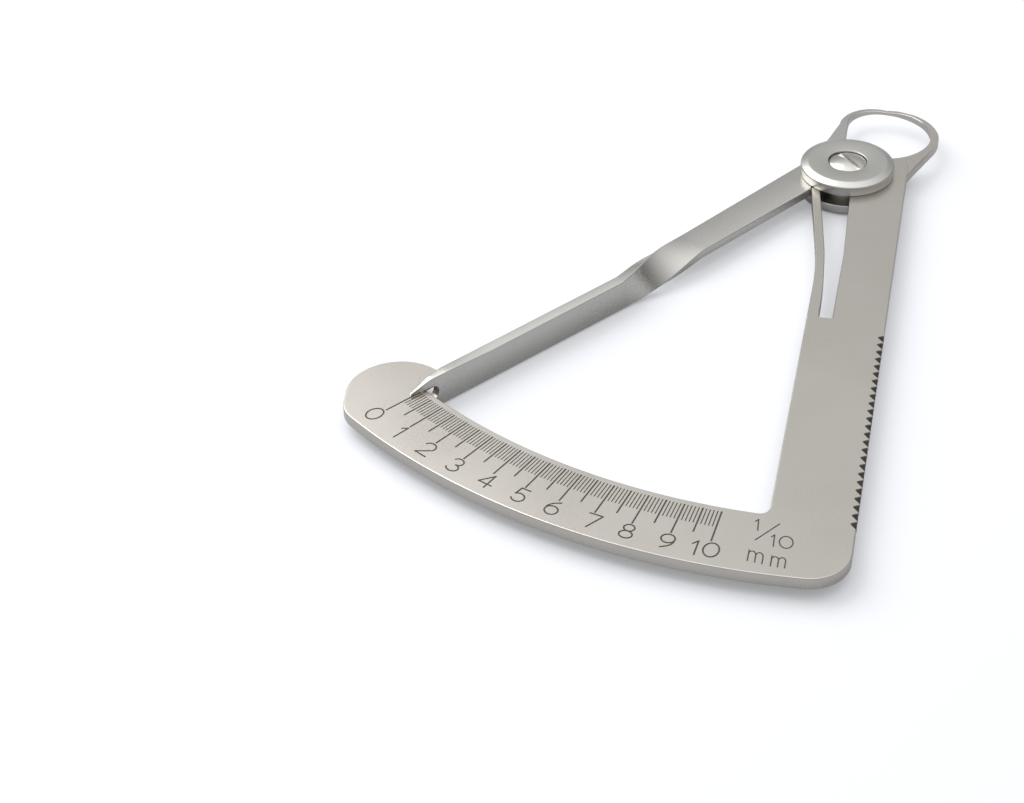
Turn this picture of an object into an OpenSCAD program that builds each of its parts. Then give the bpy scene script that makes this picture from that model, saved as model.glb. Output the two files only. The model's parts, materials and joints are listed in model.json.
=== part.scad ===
// Spring caliper for wax and thin sheet, lying flat, in millimetres.
// The pivot axis is +Z, the toothed leg runs along -Y, and the jaws point along +Y.
// Squeezing the pointer lever towards the leg turns it about the pivot and opens the jaws.

/* [Reading] */
// Distance from the pivot axis to the point where the jaw tips meet
jaw_r = 17.8; // [17:0.1:19]
// Largest opening that the scale reads
scale_max = 10; // [6:1:10]
// Angle between the zero mark and the leg
leg_angle = 38; // [37:0.5:42]

/* [Frame plate] */
// Thickness of the frame plate
plate_t = 1.6; // [1.4:0.1:2]
// Outer radius of the quadrant about the pivot
quadrant_r = 84.1; // [82:0.1:90]
// Inner radius of the quadrant about the pivot
quadrant_in_r = 74; // [73:0.1:75]
// Distance from the pivot line to the leg's inner edge
leg_in = 1.7; // [1.6:0.1:2]
// Distance from the pivot line to the leg's toothed edge
leg_out = 8.2; // [7.8:0.1:9]
// Height of the full thickness of the leg above the pivot line
leg_top = 3.85; // [3.4:0.05:4.2]
// Radius of the round corner between the leg and the quadrant
corner_r = 5; // [3:0.5:6]
// Radius of the fillet inside the corner of the leg and the quadrant
inner_fillet = 1.2; // [0.6:0.1:2]
// Radius of the corner at the upper end of the leg
shoulder_r = 1.1; // [0.5:0.1:1.5]
// Radius of the round end of the quadrant beside the zero mark
lobe_r = 6.45; // [6:0.05:7]
// Radius from the pivot to the middle of that round end
lobe_at = 76.9; // [76.5:0.1:77.5]
// Angle from the zero mark to the middle of that round end
lobe_turn = 1.3; // [1:0.1:2]
// Radius that blends the round end into the outer arc
lobe_blend_r = 4.5; // [3:0.5:5]

/* [Leg teeth] */
// Number of notches along the leg
notch_count = 25; // [10:1:25]
// Distance from one notch to the next
notch_pitch = 1.5; // [1.3:0.1:1.5]
// Width of a notch at the edge
notch_w = 1.1; // [0.6:0.05:1.2]
// Depth of a notch
notch_depth = 0.57; // [0.3:0.01:0.8]
// Distance from the pivot to the first notch
notch_start = 37.6; // [36:0.1:39]

/* [Scale marks] */
// Radius at which the marks start
mark_in_r = 74.85; // [74.8:0.05:75.2]
// Radius at which the tenths end
tenth_r = 77.5; // [77:0.1:78]
// Radius at which the half millimetre marks end
half_r = 79; // [78.5:0.1:79.5]
// Radius at which the millimetre marks end
full_r = 80; // [79.6:0.1:80.5]
// Width of the half and whole millimetre marks
mark_w = 0.2; // [0.15:0.01:0.3]
// Width of the tenth marks
tenth_w = 0.13; // [0.1:0.01:0.16]
// Depth of the marks
mark_depth = 0.06; // [0.04:0.01:0.15]

/* [Leaf spring] */
// Width of the leaf over most of its length
leaf_w = 1.18; // [1:0.02:1.3]
// Width of the leaf at its root
leaf_root_w = 1.45; // [1.35:0.05:1.5]
// Distance above its bend over which the leaf narrows to that width
leaf_taper = 7; // [5:0.5:10]
// Distance from the pivot to the closed end of the slot beside the leaf
slot_end = 34.8; // [34:0.1:37]
// Distance from the pivot line to the slot's far wall
slot_far = 1.5; // [1.4:0.1:2]
// The same distance at the hub, where the slot narrows
slot_far_hub = 1.0; // [0.9:0.1:1.2]
// Length below the hub over which the slot narrows
slot_taper = 13; // [10:1:16]
// Distance from the pivot to the middle of the leaf's bend
flex_at = 31; // [30.5:0.1:32]
// Distance from the pivot at which the leaf starts to curve
curve_at = 28.5; // [27.5:0.1:29]
// Radius of that curve
curve_r = 75; // [70:1:90]
// Angle through which the leaf curves towards the lever
curve_turn = 8.3; // [7.8:0.1:8.6]
// Distance from the pivot line to the leaf's tip, measured along the leg
leaf_tip = 4.5; // [4.4:0.05:4.8]
// Radial clearance of the leaf's round root in its seat
flex_gap = 0.05; // [0.03:0.01:0.08]

/* [Pointer lever] */
// Thickness of the lever's strip
lever_t = 1.3; // [1.1:0.05:1.5]
// Width of the strip where it twists, and of its upright part
lever_w = 4.5; // [4.2:0.05:4.7]
// Distance from the zero line to the strip's leg-side edge where the twist starts
twist_edge = 0.7; // [0.5:0.05:0.75]
// Width of the strip at the hub
lever_hub_w = 5.05; // [4.7:0.05:5.3]
// Distance from the pivot to the start of the twist
twist_at = 28; // [27:0.5:29]
// Length of the twist
twist_len = 14; // [12:0.5:16]
// Distance from the pivot to the pointer's tip
pointer_r = 76.3; // [75.6:0.1:77]
// Clearance between the quadrant's inner edge and the inner end of the fork that straddles it
fork_room = 1.8; // [1.4:0.1:2.5]
// Clearance between the fork and each face of the quadrant
fork_gap = 0.2; // [0.15:0.05:0.3]
// Distance from the strip's middle plane to the zero line at its upright part
upright_off = -0.2; // [-0.3:0.05:0]

/* [Jaws] */
// Direction of the closed jaw tips, seen from the pivot
jaw_dir = 77; // [75:0.5:79]
// Width of each jaw at its tip
tip_w = 0.65; // [0.5:0.05:0.9]
// Thickness of the jaws along their bow
jaw_t = 0.9; // [0.7:0.05:1.1]
// Thickness of the jaws at their tips
tip_t = 0.45; // [0.35:0.05:0.6]
// Gap between the closed jaw tips
tip_gap = 0.04; // [0.02:0.01:0.08]

/* [Pivot] */
// Diameter of the pivot screw's smooth shoulder
pivot_d = 4; // [3.6:0.1:4.2]
// Diameter of the screw's threaded end
thread_d = 3; // [2.5:0.1:3.2]
// Running clearance all round the shoulder
pivot_gap = 0.03; // [0.02:0.01:0.06]
// Clearance between flat faces that slide on each other
face_gap = 0.03; // [0.02:0.01:0.06]
// Radius of the two halves of the lap joint
hub_r = 6; // [5.8:0.05:6.15]
// Diameter of the two cover discs
disc_d = 12.8; // [12.6:0.1:13.4]
// Thickness of the upper disc
top_disc_t = 1.7; // [1.5:0.1:2]
// Radius of the upper disc's round shoulder
disc_round = 1.1; // [0.6:0.1:1.3]
// Thickness of the lower disc
low_disc_t = 1.6; // [1.5:0.1:2]
// Radius of the lower disc's round edge
low_round = 0.7; // [0.3:0.1:1]
// Diameter of the screw's head
head_d = 5; // [4.8:0.1:5.4]
// Clearance round the screw's head in its recess
head_gap = 0.15; // [0.1:0.05:0.3]
// Depth of the recess for the screw's head
recess_depth = 0.9; // [0.7:0.1:1.1]
// Height of the head's domed middle above its rim
dome = 0.55; // [0.4:0.05:0.7]
// Width of the screwdriver slot
slot_w = 0.7; // [0.5:0.05:0.9]
// Depth of the screwdriver slot
slot_depth = 0.55; // [0.4:0.05:0.7]
// Direction of the screwdriver slot
slot_turn = 135; // [0:1:179]

/* [Hidden] */
$fn = 96;
eps = 0.01;
far = 200;
// Round corners run this far past the edges that they join, so that they cross them cleanly
blend = 0.04;

// Colours of the satin plate, the lever, the turned discs and the screw
plate_colour = [0.75, 0.73, 0.69];
lever_colour = [0.7, 0.69, 0.66];
disc_colour = [0.68, 0.68, 0.66];
screw_colour = [0.78, 0.77, 0.74];

// Heights: the lower disc rests on z = 0 and carries the plate
plate_z = low_disc_t;
plate_mid = plate_z + plate_t / 2;
plate_top = plate_z + plate_t;
lever_z = plate_top - lever_t;
lap_top = plate_mid + face_gap;
disc_z = plate_top + face_gap;
disc_top = disc_z + top_disc_t;
recess_z = disc_top - recess_depth;

// Directions: the zero mark, and a mark's angle past it from the chord between the tips
zero_dir = -90 - leg_angle;
function reading_turn(opening) = 2 * asin(opening / 2 / jaw_r);

// Points and directions in the plane
function polar(r, a) = [r * cos(a), r * sin(a)];
function unit(v) = v / norm(v);
function heading(v) = atan2(v[1], v[0]);

// Point where a line from p touches a circle on its right-hand side
function touch(p, c, r) =
    let (d = norm(c - p), a = heading(c - p) - asin(r / d))
    p + sqrt(d * d - r * r) * [cos(a), sin(a)];

// Jaw tips, and the circles that bound each jaw, placed from the tip
tip = polar(jaw_r, jaw_dir);
right_in_c = tip + [0.2, -6.5];
right_out_c = tip + [0.55, -6.6];
left_in_c = tip + [-0.95, -4];
left_out_c = tip + [-1.1, -4.35];
right_in_r = norm(tip - right_in_c);
right_out_r = norm(tip - right_out_c) + tip_w;
left_in_r = norm(tip - left_in_c);
left_out_r = norm(tip - left_out_c) + tip_w;
tip_flare = 5;

// Leaf: its left edge as a distance from the pivot line, at a distance s along the leg
curve_end = curve_at - curve_r * sin(curve_turn);
function leaf_left(s) =
    s > curve_at ? -leg_in :
    s > curve_end ? -leg_in - curve_r + sqrt(curve_r * curve_r - pow(curve_at - s, 2)) :
    leaf_left(curve_end + eps) - tan(curve_turn) * (curve_end - s);
function leaf_width(s) =
    leaf_w + (leaf_root_w - leaf_w) * max(0, min(1, 1 - (flex_at - s) / leaf_taper));
flex_p = [-leg_in + leaf_root_w / 2, -flex_at];
leaf_steps = 18;

// Leaf pocket in the hub: the tip sweeps down to this radius when the lever is fully open
pocket_r = leaf_tip - 0.4;
// Leg-side edge of the flat strip, at a distance x from the pivot
strip_slope = 0.0477;
function strip_edge(x) = twist_edge - strip_slope * (twist_at - x);

// Corner of the lever on which the leaf bears, just outside the cover discs
nose_x = disc_d / 2 + 0.32;
nose_len = 1.3;

// A flat sector between two directions, wide enough to cover the part
module sector(a0, a1) {
    steps = 4;
    polygon(concat([[0, 0]], [for (i = [0:steps]) polar(far, a0 + (a1 - a0) * i / steps)]));
}

// A circle of radius r at point p
module disc_at(p, r) {
    translate(p)
        circle(r);
}

// The lever's own axes: +X towards the zero mark, +Y towards the leg
module lever_axes() {
    rotate(zero_dir)
        children();
}

// Round end of the quadrant, in the lever's axes
module round_end() {
    hull() {
        disc_at(polar(lobe_at, -lobe_turn), lobe_r);
        disc_at(polar(quadrant_r - lobe_blend_r, -lobe_turn), lobe_blend_r + blend);
    }
}

// Space inside the quadrant, where the pointer's fork passes; the round end runs on behind it
module inner_space() {
    difference() {
        circle(quadrant_in_r, $fn = 360);
        lever_axes()
            translate([0, upright_off - lever_t / 2 - 0.5 - far])
                square([far, far]);
    }
}

// Quadrant between the zero mark and the leg, before its outer edge is cut
module quadrant() {
    difference() {
        union() {
            sector(zero_dir - 1, -90);
            lever_axes()
                round_end();
        }
        inner_space();
    }
}

// Leg with the stub of the leaf and the slot beside it
module leg() {
    stub_end = flex_at + 0.3;
    slot_top = hub_r + 1;
    polygon([
        [-leg_in, -far],
        [-leg_in, -stub_end],
        [-leg_in + leaf_root_w, -stub_end],
        [-leg_in + leaf_root_w, -slot_end],
        [slot_far, -slot_end],
        [slot_far, -slot_top - slot_taper],
        [slot_far_hub, -slot_top],
        [slot_far_hub, leg_top],
        [leg_out, leg_top],
        [leg_out, -far]
    ]);
}

// Outline of the plate: quadrant and leg inside the outer arc, with its corners and notches
module outline() {
    corner_c = [leg_out - corner_r, -sqrt(pow(quadrant_r - corner_r, 2) - pow(leg_out - corner_r, 2))];
    difference() {
        intersection() {
            circle(quadrant_r, $fn = 360);
            union() {
                quadrant();
                leg();
            }
        }
        difference() {
            polygon([
                corner_c,
                corner_c + 20 * unit(corner_c),
                corner_c + [20, -20],
                corner_c + [20, 0]
            ]);
            disc_at(corner_c, corner_r + blend);
        }
        translate([leg_out - shoulder_r, leg_top - shoulder_r])
            difference() {
                square(far);
                circle(shoulder_r + blend / 2);
            }
        disc_at(flex_p, leaf_root_w / 2 + flex_gap);
        for (i = [0:notch_count - 1])
            translate([leg_out, -notch_start - i * notch_pitch])
                notch();
    }
}

// One notch in the leg's edge, steeper on the side of the pivot
module notch() {
    polygon([[1, 0], [0, 0], [-notch_depth, -notch_w * 0.35], [0, -notch_w], [1, -notch_w]]);
}

// Fillet between the leg and the quadrant
module fillet() {
    c = [-leg_in - inner_fillet, -sqrt(pow(quadrant_in_r - inner_fillet, 2) - pow(leg_in + inner_fillet, 2))];
    difference() {
        polygon([
            c,
            [-leg_in + blend, c[1]],
            [-leg_in + blend, -quadrant_in_r - blend],
            c + (inner_fillet + blend) * unit(c)
        ]);
        disc_at(c, inner_fillet + blend / 2);
    }
}

// Space in the frame's half of the lap that the leaf's tip sweeps through
module leaf_pocket() {
    difference() {
        intersection() {
            sector(zero_dir - 10, -45);
            translate([-far + slot_far_hub, -far])
                square([far, far]);
        }
        circle(pocket_r);
    }
}

// Jaw that belongs to the frame: from the leg's shoulder round the right of the ring
module right_jaw() {
    root = [leg_out, 0.3];
    meet = touch(root, right_out_c, right_out_r - blend / 2);
    difference() {
        union() {
            intersection() {
                disc_at(right_out_c, right_out_r);
                right_of_tip();
            }
            polygon([[0, 0], root, meet, right_out_c]);
        }
        disc_at(right_in_c, right_in_r);
        circle(pivot_d);
    }
}

// Half-planes that end the jaws: the faces touch at the inner edge and open outwards
module right_of_tip() {
    translate(tip)
        rotate(jaw_dir - tip_flare - 90)
            translate([tip_gap / 2, -2 * jaw_r])
                square([far, far]);
}
module left_of_tip() {
    translate(tip)
        rotate(jaw_dir + tip_flare - 90)
            translate([-far - tip_gap / 2, -2 * jaw_r])
                square([far, far]);
}

// Jaw that belongs to the lever: straight up from the hub, then round to the tip
module left_jaw() {
    difference() {
        union() {
            intersection() {
                disc_at(left_out_c, left_out_r);
                left_of_tip();
                translate([-far, left_out_c[1]])
                    square([2 * far, far]);
            }
            polygon([
                [-4.05, 4.3],
                [left_out_c[0] - left_out_r, left_out_c[1]],
                [left_in_c[0], left_out_c[1]],
                [left_in_c[0] - left_in_r, left_out_c[1] - 1],
                [-1.05, 4.3]
            ]);
        }
        disc_at(left_in_c, left_in_r);
    }
}

// Side view of the jaws: thin along the bow and thinner at the tips
module jaw_side(root_low, root_high, root_y) {
    bow_y = 12;
    end_y = tip[1] + 1;
    rotate([90, 0, 90])
        translate([0, 0, -far / 2])
            linear_extrude(far)
                polygon([
                    [0, root_low],
                    [root_y, root_low],
                    [bow_y, plate_mid - jaw_t / 2],
                    [end_y, plate_mid - tip_t / 2],
                    [end_y, plate_mid + tip_t / 2],
                    [bow_y, plate_mid + jaw_t / 2],
                    [root_y, root_high],
                    [0, root_high]
                ]);
}

// Marks of the scale, cut into the upper face
module scale_marks() {
    for (i = [0:10 * scale_max]) {
        whole = i % 10 == 0;
        half = i % 5 == 0;
        end_r = whole ? full_r : half ? half_r : tenth_r;
        w = half ? mark_w : tenth_w;
        rotate(zero_dir + reading_turn(i / 10))
            translate([mark_in_r, -w / 2, plate_top - mark_depth])
                cube([end_r - mark_in_r, w, 1]);
    }
}

// Frame plate: toothed leg, quadrant with its scale, lower half of the lap and right jaw
module frame_plate() {
    color(plate_colour)
        difference() {
            union() {
                translate([0, 0, plate_z])
                    linear_extrude(plate_t) {
                        outline();
                        fillet();
                    }
                translate([0, 0, plate_z])
                    linear_extrude(plate_mid - plate_z)
                        difference() {
                            circle(hub_r);
                            leaf_pocket();
                        }
                intersection() {
                    linear_extrude(far)
                        right_jaw();
                    jaw_side(plate_mid - jaw_t / 2, plate_mid + jaw_t / 2, 1);
                }
            }
            translate([0, 0, plate_mid])
                cylinder(r = hub_r + 0.25, h = far);
            cylinder(d = pivot_d + 2 * pivot_gap, h = far);
            scale_marks();
        }
}

// Leaf spring: a tongue of the frame plate that pushes the lever shut, round at both ends
module leaf_spring() {
    span = flex_at - leaf_tip - leaf_w / 2;
    stations = [for (i = [0:leaf_steps]) flex_at - span * i / leaf_steps];
    left = [for (s = stations) [leaf_left(s), -s]];
    right = [for (i = [leaf_steps:-1:0]) left[i] + [leaf_width(stations[i]), 0]];
    tip_c = (left[leaf_steps] + right[0]) / 2;
    tip_arc = [for (a = [165:-15:15]) tip_c + polar(leaf_w / 2, a)];
    root_arc = [for (a = [-10:-10:-170]) flex_p + polar(leaf_root_w / 2, a)];
    color(plate_colour)
        translate([0, 0, plate_z])
            linear_extrude(plate_t)
                polygon(concat(left, tip_arc, right, root_arc));
}

// Pointer lever: left jaw, upper half of the lap, flat strip, twist and upright strip with its fork
module pointer_lever() {
    color(lever_colour)
        difference() {
            union() {
                translate([0, 0, lap_top])
                    linear_extrude(plate_top - lap_top)
                        circle(hub_r);
                intersection() {
                    linear_extrude(far)
                        left_jaw();
                    jaw_side(lever_z, plate_top, 8.2);
                }
                lever_axes()
                    strip();
            }
            translate([0, 0, lap_top - far])
                cylinder(r = hub_r + 0.25, h = far);
            translate([0, 0, lever_z])
                linear_extrude(far)
                    lever_axes()
                        lever_pocket();
            cylinder(d = pivot_d + 2 * pivot_gap, h = far);
        }
}

// Space in the lever's half of the lap for the leaf's tip, inside the corner that it bears on
module lever_pocket() {
    corner = [nose_x, strip_edge(nose_x)];
    inner = corner - polar(nose_len, leg_angle + curve_turn);
    room = 2.2 * leaf_w;
    difference() {
        polygon([
            corner,
            inner,
            [0, inner[1]],
            [0, inner[1] + room],
            corner + [room / 2, 1.5 * room]
        ]);
        circle(pocket_r);
    }
}

// Strip: flat from the hub, twisted by a quarter, then upright with the fork cut into its end
module strip() {
    edge_end = strip_edge(twist_at);
    edge_hub = strip_edge(0);
    flat_mid = [twist_at, edge_end - lever_w / 2, plate_top - lever_t / 2];
    upright_mid = [twist_at + twist_len, upright_off, plate_mid];
    run = upright_mid - flat_mid;
    reach = norm(run);
    translate([0, 0, lever_z])
        linear_extrude(lever_t)
            polygon([
                [0, edge_hub],
                [twist_at + eps, edge_end],
                [twist_at + eps, edge_end - lever_w],
                [3.4, strip_edge(3.4) - lever_hub_w - 0.1],
                [0, -hub_r + 0.3]
            ]);
    translate(flat_mid)
        rotate([0, acos(run[2] / reach), heading(run)])
            linear_extrude(reach, twist = 90, slices = 24, segments = 4)
                square([lever_t, lever_w], center = true);
    difference() {
        upright();
        fork();
    }
}

// Upright part of the strip, its upper edge sloping down to the pointer's tip
module upright() {
    start = twist_at + twist_len;
    low = plate_mid - lever_w / 2;
    high = plate_mid + lever_w / 2;
    point_z = plate_top + fork_gap;
    intersection() {
        translate([0, upright_off + lever_t / 2, 0])
            rotate([90, 0, 0])
                linear_extrude(lever_t)
                    polygon([
                        [start - eps, low],
                        [pointer_r - 1.6, low],
                        [pointer_r - 0.8, low + 0.4],
                        [pointer_r - 0.8, plate_mid],
                        [pointer_r, point_z],
                        [pointer_r, point_z + 0.35],
                        [pointer_r - 0.8, point_z + 0.75],
                        [pointer_r - 5.5, high],
                        [start - eps, high]
                    ]);
        linear_extrude(far)
            polygon([
                [0, -far],
                [0, far],
                [pointer_r - 3.3, upright_off + lever_t / 2],
                [pointer_r, 0.12],
                [pointer_r, -0.12],
                [pointer_r - 3.3, upright_off - lever_t / 2]
            ]);
    }
}

// Gap of the fork, with a round inner end, that takes the quadrant's thickness
module fork() {
    h = plate_t + 2 * fork_gap;
    fork_at = quadrant_in_r - fork_room;
    translate([0, far / 2, plate_mid])
        rotate([90, 0, 0])
            linear_extrude(far) {
                translate([fork_at + h / 2, -h / 2])
                    square([far, h]);
                disc_at([fork_at + h / 2, 0], h / 2);
            }
}

// Lower disc: a blind nut whose lower face is the resting face
module bottom_disc() {
    thread_depth = low_disc_t - 0.5;
    color(disc_colour)
        difference() {
            rotate_extrude()
                round_disc(disc_d / 2, low_disc_t, low_round);
            translate([0, 0, low_disc_t - thread_depth])
                cylinder(d = thread_d, h = far);
        }
}

// Half section of a disc whose edge at z = 0 is round
module round_disc(r, t, round_r) {
    union() {
        translate([0, round_r])
            square([r, t - round_r]);
        square([r - round_r, t]);
        intersection() {
            disc_at([r - round_r, round_r], round_r);
            square([r, t]);
        }
    }
}

// Upper disc with its round shoulder and the recess for the screw's head
module top_disc() {
    color(disc_colour)
        difference() {
            translate([0, 0, disc_top])
                mirror([0, 0, 1])
                    rotate_extrude()
                        round_disc(disc_d / 2, top_disc_t, disc_round);
            cylinder(d = pivot_d + 2 * pivot_gap, h = far);
            translate([0, 0, recess_z])
                cylinder(d = head_d + 2 * head_gap, h = far);
        }
}

// Pivot screw: domed slotted head, smooth shoulder and threaded end
module pivot_screw() {
    head_r = head_d / 2;
    rim_z = disc_top - 0.2;
    dome_r = (head_r * head_r + dome * dome) / 2 / dome;
    color(screw_colour)
        difference() {
            union() {
                translate([0, 0, recess_z])
                    cylinder(r = head_r, h = rim_z - recess_z);
                intersection() {
                    translate([0, 0, rim_z + dome - dome_r])
                        sphere(dome_r);
                    translate([0, 0, rim_z - eps])
                        cylinder(r = head_r, h = far);
                }
                translate([0, 0, low_disc_t])
                    cylinder(d = pivot_d, h = recess_z - low_disc_t + eps);
                translate([0, 0, 0.5 + pivot_gap])
                    cylinder(d = thread_d - 2 * pivot_gap, h = low_disc_t);
            }
            translate([0, 0, rim_z + dome - slot_depth])
                rotate(slot_turn)
                    translate([-far / 2, -slot_w / 2, 0])
                        cube([far, slot_w, far]);
        }
}

frame_plate();
leaf_spring();
pointer_lever();
bottom_disc();
top_disc();
pivot_screw();
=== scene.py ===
"""Spring caliper for wax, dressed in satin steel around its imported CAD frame.

All sizes are in millimetres in the part's own frame, and all angles in degrees, where nothing else
is said. The pivot is the Z axis, the toothed leg runs along -Y, and the jaws point along +Y. Meshes
are turned to metres in mesh_piece. The lever's own axes have X along its strip and Y towards the
leg; they are turned about the pivot by ZERO when the caliper reads 0.
"""

import json
import math

import bmesh
import bpy
import numpy as np
from mathutils import Matrix, Vector
from mathutils.geometry import delaunay_2d_cdt

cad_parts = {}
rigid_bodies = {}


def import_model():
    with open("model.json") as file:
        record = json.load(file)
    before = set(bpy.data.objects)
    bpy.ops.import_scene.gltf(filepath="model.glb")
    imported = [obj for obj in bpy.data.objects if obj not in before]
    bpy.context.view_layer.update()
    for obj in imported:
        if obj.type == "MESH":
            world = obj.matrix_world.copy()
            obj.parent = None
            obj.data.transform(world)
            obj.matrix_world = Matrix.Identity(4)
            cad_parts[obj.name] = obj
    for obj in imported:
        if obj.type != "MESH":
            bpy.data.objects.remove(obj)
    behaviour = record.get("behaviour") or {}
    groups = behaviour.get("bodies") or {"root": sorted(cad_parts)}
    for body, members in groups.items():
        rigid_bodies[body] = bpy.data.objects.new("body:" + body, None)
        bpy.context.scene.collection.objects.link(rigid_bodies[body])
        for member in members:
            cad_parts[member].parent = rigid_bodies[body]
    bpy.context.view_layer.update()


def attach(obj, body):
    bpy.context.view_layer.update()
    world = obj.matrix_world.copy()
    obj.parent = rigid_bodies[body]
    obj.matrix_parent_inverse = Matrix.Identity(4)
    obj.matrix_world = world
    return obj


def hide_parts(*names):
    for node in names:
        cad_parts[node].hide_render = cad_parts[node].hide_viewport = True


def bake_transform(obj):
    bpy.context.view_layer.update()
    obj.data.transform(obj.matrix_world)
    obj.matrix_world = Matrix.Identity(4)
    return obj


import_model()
MM = 0.001

# Sheet, quadrant and leg, as in the part's source. The lobe is the quadrant's round end, and
# LOBE_ROOM is what its cut leaves free behind the pointer.
JAW_R, JAW_DIR = 17.8, 77.0
ZERO = -128.0
PLATE_Z, PLATE_T = 1.6, 1.6
PLATE_TOP = PLATE_Z + PLATE_T
PLATE_MID = PLATE_Z + PLATE_T / 2
QUADRANT_R, QUADRANT_IN = 84.1, 74.0
LEG_IN, LEG_OUT, LEG_TOP = -1.7, 8.2, 3.85
SHOULDER_R, CORNER_R, FILLET_R = 1.1, 5.0, 1.2
LOBE_R, LOBE_AT, LOBE_TURN, LOBE_BLEND_R = 6.45, 76.9, -1.3, 4.5
LOBE_ROOM = 0.5
# Notches of the leg's outer edge, and where that edge is plain above and below them
NOTCHES, NOTCH_FROM, NOTCH_PITCH = 25, 37.6, 1.5
NOTCH_W, NOTCH_DEEP, NOTCH_LEAN = 1.1, 0.58, 0.34
PLAIN_ABOVE, PLAIN_BELOW = 36.6, 75.5
# Slot and leaf spring
SLOT_END, SLOT_FAR, SLOT_HUB, SLOT_CORNER = 34.9, 1.5, 1.0, 0.2
SLOT_TAPER = (20, 7)
LEAF_W, LEAF_ROOT_W, LEAF_TIP = 1.18, 1.45, 5.1
LEAF_BEND_R, LEAF_BEND_AT, LEAF_LEAN = 75.0, 28.5, 8.3
# Lever: flat strip, quarter twist, upright strip and forked pointer
LEVER_T, LEVER_W, LEVER_HUB_W = 1.3, 4.5, 5.05
TWIST_AT, TWIST_LEN, TWIST_WAIST = 28.0, 14.0, 0.06
TWIST_EDGE, STRIP_SLOPE = 0.7, 0.0477
UPRIGHT_Y = -0.2
POINTER_R, TAPER, NIB = 76.3, 5.5, 0.8
FORK_AT, FORK_GAP = 72.2, 0.2
STRIP_ROUND, STRIP_SLANT = 0.16, 0.25
# Hub: lap joint, discs and screw. The sheet runs into the lap's rim by HUB_SEAM.
HUB_R, HUB_ROOM, HUB_SEAM = 6.0, 6.25, 0.05
POCKET_R, POCKET_CORNER = 4.1, 6.72
BORE_R = 2.03
FACE_GAP = 0.03
LAP_TOP = PLATE_MID + FACE_GAP
DISC_R = 6.4
DISC_Z = PLATE_TOP + FACE_GAP
DISC_TOP = DISC_Z + 1.7
RECESS_R, RECESS_Z = 2.65, DISC_TOP - 0.9
# Height above every piece and radius outside the hub, for the shapes that are cut away
CLEAR_Z, CLEAR_R = 6, 9.0

# Finish of the edges: size of the round, points along it, and least share of a mitre at sharp bends
EDGE, EDGE_STEPS, MITRE = 0.13, 4, 0.35
CREASE = 40
# Jaws: bevel, greatest fall of the ground slope and crease, then the tips' width and half the gap
# between them at their inner and outer ends
JAW_EDGE, JAW_FALL, JAW_CREASE = 0.08, 0.2, 9
TIP_W, TIP_SEAM_IN, TIP_SEAM_OUT = 0.65, 0.02, 0.05

# Marks of the scale: radii, widths and depth
MARK_FROM, TENTH_TO, HALF_TO, WHOLE_TO = 74.85, 77.5, 79.0, 80.0
WIDE_MARK, FINE_MARK, UNIT_MARK, MARK_DEPTH = 0.21, 0.13, 0.16, 0.07
# Numerals: height, radius, how far some are turned along the scale, and the two digits of 10
NUMERAL_H, NUMERAL_R = 2.36, 81.5
NUMERAL_TURN = {0: -0.25, 4: 0.15, 5: 0.15, 7: 0.26}
TEN = (("1", (-1.4, 0.05)), ("0", (0.35, -0.03)))

# Steel: scale of the clouds of tint, how much they dull it, and the bump's strength and height in
# metres
CLOUDS, WEAR = 70.0, 0.08
BUMP, BUMP_HEIGHT = 0.01, 0.000012

# Camera: focal length and width in pixels, place in metres, direction over the floor, dip and roll
FOCAL_PX, WIDTH_PX, SENSOR = 2311.25, 1024, 36.0
EYE = (0.0152, -0.2737, 0.1744)
HEADING, DIP, ROLL = (-0.2261, 0.9741, 0), 37.8046, -1.7631

# Floor: glow that the camera and the reflections see on top of the paper
FLOOR_LIFT, SHINE_LIFT = 0.23, 0.02
# Light of the tent: level at the horizon, its rise with height, its bright crown, and the white
# backdrop
HORIZON, RISE, CROWN, BACKDROP = 0.10, 0.68, 0.65, 0.4
TENT_TINT = (0.985, 0.99, 1.0, 1)
# Key light: metres and watts, turned towards KEY_AIM
KEY_AIM = (-0.015, -0.03, 0)
KEY = dict(azimuth=158, elevation=44, distance=0.42, size=0.42, power=1.25)


def polar(r, deg):
    """Points r (cos a, sin a) for angles in degrees."""
    a = np.radians(deg)
    return np.stack([r * np.cos(a), r * np.sin(a)], -1)


def arc(centre, r, a0, a1, n):
    """n points from angle a0 to a1 on the circle about centre."""
    return np.array(centre) + polar(r, np.linspace(a0, a1, n))


def turn(points, deg):
    """The points turned about the pivot."""
    a = math.radians(deg)
    m = np.array([[math.cos(a), -math.sin(a)], [math.sin(a), math.cos(a)]])
    return np.asarray(points, float) @ m.T


def line(a, b, n):
    """n points from a to b."""
    return np.array(a) + np.linspace(0, 1, n)[:, None] * (np.array(b) - np.array(a))


def bearing(v):
    """Direction of a vector in degrees."""
    return math.degrees(math.atan2(v[1], v[0]))


def reading_turn(opening):
    """Angle of the lever for an opening, from the chord between the jaw tips."""
    return math.degrees(2 * math.asin(opening / 2 / JAW_R))


def side_normals(points, closed, least):
    """Mitred left-hand normals of a path, limited by least at sharp bends, and its directions."""
    ahead = np.roll(points, -1, 0) - points
    if not closed:
        ahead[-1] = ahead[-2]
    ahead /= np.linalg.norm(ahead, axis=1)[:, None]
    behind = np.roll(ahead, 1, 0)
    if not closed:
        behind[0] = ahead[0]
    both = np.stack([-(ahead + behind)[:, 1], (ahead + behind)[:, 0]], -1)
    return both / np.maximum((both * both).sum(1) / 2, least)[:, None], ahead


def new_object(name, data):
    """An object in the scene."""
    thing = bpy.data.objects.new(name, data)
    bpy.context.scene.collection.objects.link(thing)
    return thing


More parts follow.
